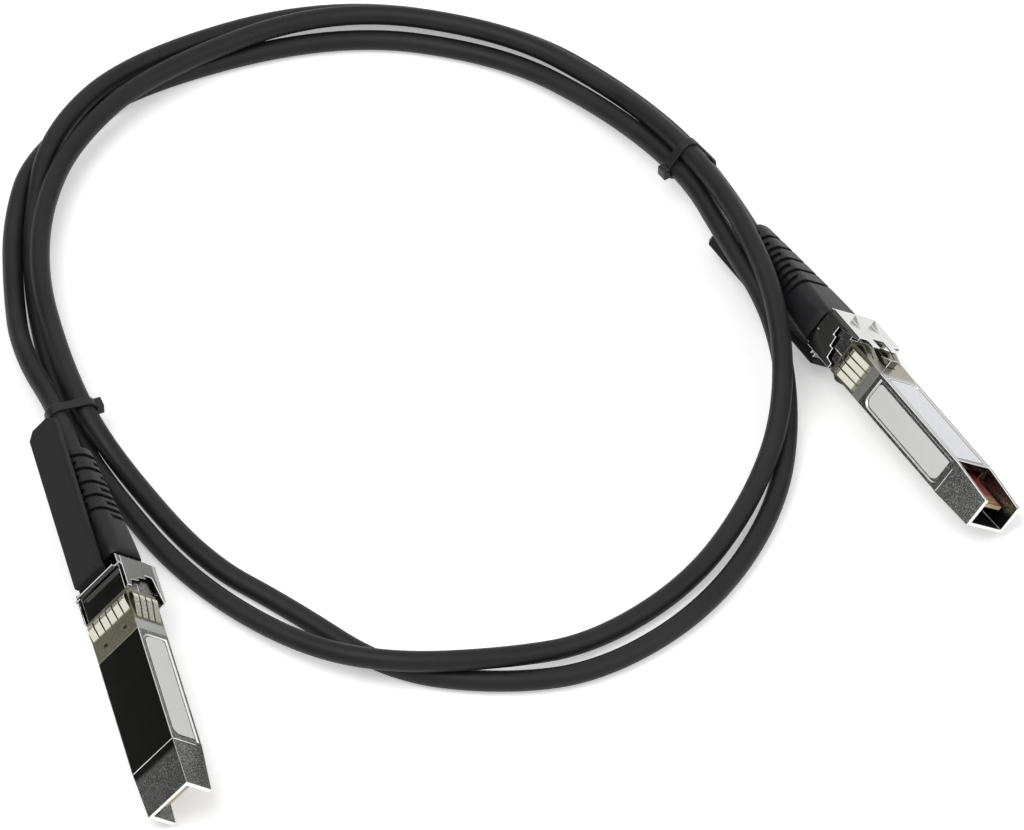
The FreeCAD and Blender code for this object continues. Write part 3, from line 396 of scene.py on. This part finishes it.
# Node name ending: record slot and rounding of its edges in millimetres
DRESSED = {
    "top_housing": ("cast_metal", 0.16),
    "bottom_housing": ("cast_metal", 0.09),
    "emi_collar": ("spring_metal", 0.04),
    "latch_slider": ("slider_metal", 0.10),
    "pull_tab": ("tab_plastic", 0.14),
    "side_label": ("label_film", 0.03),
    "paddle_card": ("board", 0.03),
}
FLAT = ("emi_collar", "latch_slider", "side_label", "paddle_card")
PLAIN = {
    "contact_pads": "gold",
    "memory_chip": "chip",
    "wire_pair_tx": "foil",
    "wire_pair_rx": "foil",
    "crimp_ferrule": "crimp",
}
MOVING = ("latch_slider", "pull_tab")

for plug in PLUG_PLACES:
    for ending, (slot_name, edge) in DRESSED.items():
        body = plug + "_release" if ending in MOVING else "cable"
        dressed(f"{plug}_{ending}", plug, body, slot_name, edge, ending not in FLAT)
    for ending, slot_name in PLAIN.items():
        give_finish(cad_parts[f"{plug}_{ending}"], slot_name)
dressed("plug_b_floor_label", "plug_b", "cable", "label_plate", 0.03, False)


# ---- boots ------------------------------------------------------------------
BOOT_AXIS = 4.25
# Along the plug: place, half width, half height and how round the corners are
BOOT_STATIONS = [
    (21.30, 6.45, 3.95, 1.3), (21.32, 6.80, 4.30, 1.6), (21.60, 6.95, 4.44, 1.8),
    (23.40, 7.00, 4.52, 2.2), (27.00, 6.85, 4.56, 2.7), (31.00, 6.50, 4.54, 3.0),
    (36.00, 5.95, 4.46, 3.2), (45.00, 4.95, 4.24, 3.4), (53.20, 4.12, 3.92, 3.5),
    (54.00, 3.90, 3.75, 3.4), (54.30, 3.45, 3.35, 3.2), (54.32, 2.40, 2.40, 2.3),
]
CORNER_POINTS = 10
SHARP_FROM = math.radians(40)

# Two sets of grooves, each with the place of its first one
LONG_GROOVES = 34.0
SHORT_GROOVES = 31.9
GROOVES_IN_SET = 5
GROOVE_PITCH = 4.2
GROOVE_WIDTH = 1.0
GROOVE_DEPTH = 0.8
GROOVE_WALL = 0.04


def boot_size(y):
    """Half width, half height and corner round at a place, between the stations."""
    for low, high in zip(BOOT_STATIONS, BOOT_STATIONS[1:]):
        if y <= high[0]:
            share = (y - low[0]) / (high[0] - low[0])
            return [a + (b - a) * share for a, b in zip(low[1:], high[1:])]
    return BOOT_STATIONS[-1][1:]


def boot_outline(y):
    """Points round the boot at a place, sideways and upward of its axis."""
    half, rise, corner = boot_size(y)
    points = []
    for index, (side_x, side_z) in enumerate(((1, 1), (1, -1), (-1, -1), (-1, 1))):
        for step in range(CORNER_POINTS):
            turn = math.radians(index * 90 + step * 90 / (CORNER_POINTS - 1))
            points.append((side_x * (half - corner) + corner * math.sin(turn),
                           side_z * (rise - corner) + corner * math.cos(turn)))
    return points


def groove_starts(first):
    return [first + GROOVE_PITCH * ring for ring in range(GROOVES_IN_SET)]


def groove_depth(y, x, z):
    """How deep the grooves are at a point; each set is cut over its own angles from the top."""
    angle = abs(math.degrees(math.atan2(x, z)))
    for first, cut in ((LONG_GROOVES, 8 < angle < 132), (SHORT_GROOVES, angle < 38 or angle > 100)):
        if cut and any(start <= y <= start + GROOVE_WIDTH for start in groove_starts(first)):
            return GROOVE_DEPTH
    return 0.0


def make_boot(plug):
    """Strain relief: a rounded, tapering overmould with two sets of staggered grooves."""
    places = {station[0] for station in BOOT_STATIONS}
    for start in groove_starts(LONG_GROOVES) + groove_starts(SHORT_GROOVES):
        places |= {start - GROOVE_WALL, start, start + GROOVE_WIDTH,
                   start + GROOVE_WIDTH + GROOVE_WALL}
    shape = bmesh.new()
    rows = []
    for y in sorted(places):
        row = []
        for x, z in boot_outline(y):
            shrink = 1 - groove_depth(y, x, z) / math.hypot(x, z)
            corner = (x * shrink * MM, y * MM, (z * shrink + BOOT_AXIS) * MM)
            row.append(shape.verts.new(corner))
        rows.append(row)
    for near, far in zip(rows, rows[1:]):
        bridge(shape, near, far)
    shape.faces.new(rows[0])
    shape.faces.new(list(reversed(rows[-1])))
    bmesh.ops.recalc_face_normals(shape, faces=shape.faces)
    for face in shape.faces:
        face.smooth = True
    mesh = mesh_from(shape, plug + "_relief")
    mesh.set_sharp_from_angle(angle=SHARP_FROM)
    boot = new_object(plug + "_relief", mesh)
    boot.matrix_world = plug_matrix(plug)
    give_finish(boot, "boot_plastic")
    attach(boot, "cable")
    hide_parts(plug + "_boot")


def make_highlight_strip(plug, name, path, thickness):
    """Thin near-white strip on the casting along a path given in the plug's own frame: a painted
    highlight along its edge.
    """
    line = bpy.data.curves.new(plug + name, "CURVE")
    line.dimensions = "3D"
    spline = line.splines.new("POLY")
    spline.points.add(len(path) - 1)
    for point, (x, y, z) in zip(spline.points, path):
        point.co = (x * MM, y * MM, z * MM, 1.0)
    line.bevel_depth = thickness * MM
    line.bevel_resolution = 3
    line.use_fill_caps = True
    highlight_strip = new_object(plug + name, line)
    highlight_strip.matrix_world = plug_matrix(plug)
    give_finish(highlight_strip, "painted_highlight")
    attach(highlight_strip, "cable")


# Paths of the near-white strips along the nose and the top edges: painted highlights.
NOSE_START = -30.2
BARREL_END = -0.1
NOSE_LINE = [(x, NOSE_START, z) for x, z in ((-6.74, 2.0), (-6.74, 8.2), (-6.45, 8.46),
                                             (6.45, 8.46), (6.74, 8.2), (6.74, 2.0))]
LEFT_LINE = [(-6.72, NOSE_START, 8.43), (-6.72, BARREL_END, 8.43)]
RIGHT_LINE = [(6.72, NOSE_START, 8.43), (6.72, BARREL_END, 8.43)]

for plug in PLUG_PLACES:
    make_boot(plug)
    make_highlight_strip(plug, "_nose_highlight_strip", NOSE_LINE, 0.10)
    make_highlight_strip(plug, "_left_highlight_strip", LEFT_LINE, 0.09)
    make_highlight_strip(plug, "_right_highlight_strip", RIGHT_LINE, 0.09)


# ---- cable ------------------------------------------------------------------
outer_turn = [
    (-0.0918, 0.0473, 0.0079), (-0.0958, 0.0718, 0.0046), (-0.0929, 0.0922, 0.0024),
    (-0.0883, 0.1127, 0.0024), (-0.0792, 0.1310, 0.0024), (-0.0532, 0.1465, 0.0024),
    (-0.0030, 0.1500, 0.0024), (0.0314, 0.1329, 0.0024), (0.0489, 0.1082, 0.0050),
    (0.0600, 0.0803, 0.0090), (0.0617, 0.0556, 0.0122), (0.0659, 0.0323, 0.0103),
    (0.0623, 0.0076, 0.0046), (0.0515, -0.0162, 0.0024), (0.0299, -0.0379, 0.0024),
    (0.0032, -0.0487, 0.0024), (-0.0185, -0.0463, 0.0024), (-0.0411, -0.0362, 0.0024),
    (-0.0570, -0.0133, 0.0024), (-0.0713, 0.0039, 0.0024), (-0.0817, 0.0334, 0.0024),
]
crossing_turn = [
    (-0.0871, 0.0478, 0.0083), (-0.0882, 0.0691, 0.0073), (-0.0874, 0.0907, 0.0072),
    (-0.0815, 0.1108, 0.0072), (-0.0705, 0.1285, 0.0072), (-0.0491, 0.1441, 0.0076),
    (-0.0036, 0.1550, 0.0063), (0.0339, 0.1365, 0.0061), (0.0525, 0.1111, 0.0066),
    (0.0615, 0.0847, 0.0118), (0.0655, 0.0584, 0.0162), (0.0665, 0.0301, 0.0149),
    (0.0596, 0.0047, 0.0089), (0.0460, -0.0143, 0.0044), (0.0277, -0.0306, 0.0024),
    (0.0033, -0.0408, 0.0024), (-0.0172, -0.0427, 0.0064), (-0.0416, -0.0383, 0.0076),
    (-0.0591, -0.0247, 0.0046), (-0.0763, 0.0009, 0.0024), (-0.0866, 0.0314, 0.0024),
]
under_turn = [
    (-0.0900, 0.0480, 0.0037), (-0.0904, 0.0697, 0.0024), (-0.0885, 0.0910, 0.0024),
    (-0.0839, 0.1114, 0.0030), (-0.0752, 0.1319, 0.0073), (-0.0525, 0.1498, 0.0068),
    (-0.0032, 0.1594, 0.0024), (0.0367, 0.1388, 0.0024), (0.0558, 0.1127, 0.0024),
    (0.0672, 0.0857, 0.0031),
]


CABLE_START = 53.6


def boot_tail(plug):
    """Where the cable starts, just inside the boot's small end."""
    return tuple(plug_matrix(plug) @ Vector((0, CABLE_START * MM, BOOT_AXIS * MM)))


def lay_cable():
    """One smooth line from boot to boot, drawn along by the route's stations."""
    stations = [boot_tail("plug_a")] + outer_turn + crossing_turn + under_turn
    stations.append(boot_tail("plug_b"))
    line = bpy.data.curves.new("cable", "CURVE")
    line.dimensions = "3D"
    spline = line.splines.new("NURBS")
    spline.points.add(len(stations) - 1)
    for point, station in zip(spline.points, stations):
        point.co = (*station, 1.0)
    spline.order_u = 3
    spline.use_endpoint_u = True
    spline.resolution_u = 12
    line.bevel_depth = CABLE_DIAMETER / 2
    line.bevel_resolution = 6
    line.use_fill_caps = True
    cable = new_object("cable", line)
    give_finish(cable, "jacket")
    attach(cable, "cable")
    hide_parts("cable_jacket")
    return cable


def centre_line(cable):
    """Points along the cable's own spline."""
    bare = cable.copy()
    bare.data = cable.data.copy()
    bare.data.bevel_depth = 0.0
    mesh = bpy.data.meshes.new_from_object(bare)
    points = [vertex.co.copy() for vertex in mesh.vertices]
    bpy.data.objects.remove(bare)
    return points


TIE_WIDTH = 2.2 * MM
TIE_SHEET = 0.6 * MM
TIE_GRIP = 0.05 * MM
TIE_POINTS = 72
TIE_REACH = 20 * MM
TIE_EDGE = 0.2 * MM
TIE_EDGE_FROM = math.radians(50)
HEAD_SIZE = (1.7 * MM, TIE_WIDTH * 1.25, 2.6 * MM)
HEAD_OUT = 0.3 * MM


def make_tie(name, node, line, place, along):
    """Strap pulled round the strands that cross its plane, with a small square head."""
    place = Vector(place)
    along = Vector(along).normalized()
    crossings = []
    for before, after in zip(line, line[1:]):
        low = (before - place).dot(along)
        high = (after - place).dot(along)
        if low * high <= 0 and low != high and (before - place).length < TIE_REACH:
            crossings.append(before.lerp(after, low / (low - high)))
    aside = along.cross(Vector((0, 0, 1))).normalized()
    rise = aside.cross(along)
    inner = CABLE_DIAMETER / 2 + TIE_GRIP
    shape = bmesh.new()
    rings = []
    outer = inner + TIE_SHEET
    for radius, shift in ((inner, -0.5), (outer, -0.5), (outer, 0.5), (inner, 0.5)):
        ring = []
        for step in range(TIE_POINTS):
            turn = math.radians(step * 360 / TIE_POINTS)
            way = aside * math.cos(turn) + rise * math.sin(turn)
            edge = max(crossings, key=lambda point: point.dot(way))
            ring.append(shape.verts.new(edge + way * radius + along * TIE_WIDTH * shift))
        rings.append(ring)
    for near, far in zip(rings, rings[1:] + rings[:1]):
        bridge(shape, near, far)
    bmesh.ops.recalc_face_normals(shape, faces=shape.faces)
    outer_strand = max(crossings, key=lambda point: point.dot(aside))
    head = bmesh.ops.create_cube(shape, size=1.0)["verts"]
    size = Matrix.Diagonal((*HEAD_SIZE, 1))
    turned = Matrix((aside, along, rise)).transposed().to_4x4()
    spot = outer_strand + aside * (outer + HEAD_OUT)
    bmesh.ops.transform(shape, matrix=Matrix.Translation(spot) @ turned @ size, verts=head)
    tie = new_object(name, mesh_from(shape, name))
    rounding = tie.modifiers.new("edge", "BEVEL")
    rounding.width = TIE_EDGE
    rounding.segments = 2
    rounding.limit_method = "ANGLE"
    rounding.angle_limit = TIE_EDGE_FROM
    give_finish(tie, "tie_plastic")
    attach(tie, "cable")
    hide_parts(node)
    return tie


cable = lay_cable()
line = centre_line(cable)
tie_left = make_tie("strap_left", "cable_tie_left", line, (-0.0896, 0.0486, 0.006),
                    (-0.10, 1.0, 0.0))
tie_right = make_tie("strap_right", "cable_tie_right", line, (0.0620, 0.0842, 0.006),
                     (0.31, -0.92, 0.0))


# ---- floor, light and camera ------------------------------------------------
# The view looks at a point on the floor inside the coil, from 1.6 m away
VIEW_AZIMUTH = -15.7
VIEW_ELEVATION = 48.77
VIEW_DISTANCE = 1.6
LENS = 255.94
SENSOR = 36.0
FLOOR_SIZE = 6
centre = Vector((0.00462, 0.02844, 0.0))
view_turn = Matrix.Rotation(math.radians(VIEW_AZIMUTH), 3, "Z")


def white_floor():
    """A pale sweep: white where it is seen or mirrored, keeping the object's shadow."""
    f = Finish("studio_floor")
    path = f.add("ShaderNodeLightPath")
    camera_ray, glossy_ray, transmission_ray = path[0], path[3], path[6]
    seen = (camera_ray + glossy_ray + transmission_ray).math("MINIMUM", 1.0)
    colour = f.blend(seen, rgb(0.75, 0.75, 0.75), rgb(0.95, 0.95, 0.95))
    glow = f.blend(seen, rgb(0, 0, 0), rgb(0.35, 0.35, 0.35))
    material = f.coat(Base_Color=colour, Roughness=0.9, Specular_IOR_Level=0.0,
                      Emission_Color=glow, Emission_Strength=1.0)
    bpy.ops.mesh.primitive_plane_add(size=FLOOR_SIZE)
    floor = bpy.context.object
    floor.name = "studio_floor"
    floor.data.materials.append(material)


def black_card(name, azimuth, distance, width, height):
    """Black card out of view, standing on the floor, that the mirror faces pick up."""
    f = Finish(name)
    material = f.coat(Base_Color=rgb(0.01, 0.01, 0.01), Roughness=0.9)
    bpy.ops.mesh.primitive_plane_add(size=1)
    card = bpy.context.object
    card.name = name
    bearing = math.radians(azimuth + VIEW_AZIMUTH)
    place = centre + Vector((math.cos(bearing), math.sin(bearing), 0)) * distance
    card.matrix_world = (Matrix.Translation(place + Vector((0, 0, height / 2)))
                         @ Matrix.Rotation(bearing + math.pi / 2, 4, "Z")
                         @ Matrix.Rotation(math.pi / 2, 4, "X")
                         @ Matrix.Diagonal((width, height, 1, 1)))
    card.data.materials.append(material)
    card.visible_camera = False
    card.visible_shadow = False
    card.visible_diffuse = False


def lamp(name, place, size, power):
    """A square soft lamp, aimed at the middle of the object."""
    light = bpy.data.lights.new(name, "AREA")
    light.size = size
    light.energy = power
    holder = new_object(name, light)
    spot = centre + view_turn @ Vector(place)
    holder.location = spot
    holder.rotation_euler = (spot - centre).to_track_quat("Z", "Y").to_euler()


def highest(tree, first, second):
    """The higher of two outputs."""
    node = tree.nodes.new("ShaderNodeMath")
    node.operation = "MAXIMUM"
    tree.links.new(first, node.inputs[0])
    tree.links.new(second, node.inputs[1])
    return node.outputs[0]


def studio_air():
    """Even surrounding light, white where it is seen directly or mirrored."""
    world = bpy.data.worlds.new("studio_air")
    bpy.context.scene.world = world
    world.use_nodes = True
    tree = world.node_tree
    tree.nodes.clear()
    path = tree.nodes.new("ShaderNodeLightPath")
    plain = tree.nodes.new("ShaderNodeBackground")
    plain.inputs["Color"].default_value = rgb(0.50, 0.50, 0.50)
    seen = tree.nodes.new("ShaderNodeBackground")
    seen.inputs["Color"].default_value = rgb(1, 1, 1)
    through = highest(tree, path.outputs["Is Camera Ray"], path.outputs["Is Transmission Ray"])
    clear = highest(tree, through, path.outputs["Is Glossy Ray"])
    mixed = tree.nodes.new("ShaderNodeMixShader")
    output = tree.nodes.new("ShaderNodeOutputWorld")
    tree.links.new(clear, mixed.inputs[0])
    tree.links.new(plain.outputs[0], mixed.inputs[1])
    tree.links.new(seen.outputs[0], mixed.inputs[2])
    tree.links.new(mixed.outputs[0], output.inputs["Surface"])


def set_camera():
    lens = bpy.data.cameras.new("view")
    lens.sensor_width = SENSOR
    lens.lens = LENS
    lens.clip_end = 20.0
    camera = new_object("view", lens)
    rise = math.radians(VIEW_ELEVATION)
    back = view_turn @ Vector((0, -math.cos(rise), math.sin(rise)))
    camera.location = centre + back * VIEW_DISTANCE
    camera.rotation_euler = back.to_track_quat("Z", "Y").to_euler()
    bpy.context.scene.camera = camera


bpy.context.scene.view_settings.view_transform = "Standard"
set_camera()
white_floor()
black_card("left_card", azimuth=155, distance=0.9, width=0.95, height=0.62)
black_card("right_card", azimuth=26, distance=0.9, width=0.42, height=0.42)
lamp("key", place=(-0.5, -0.3, 1.3), size=0.9, power=9)
lamp("fill", place=(0.9, -0.6, 1.0), size=0.9, power=4)
studio_air()
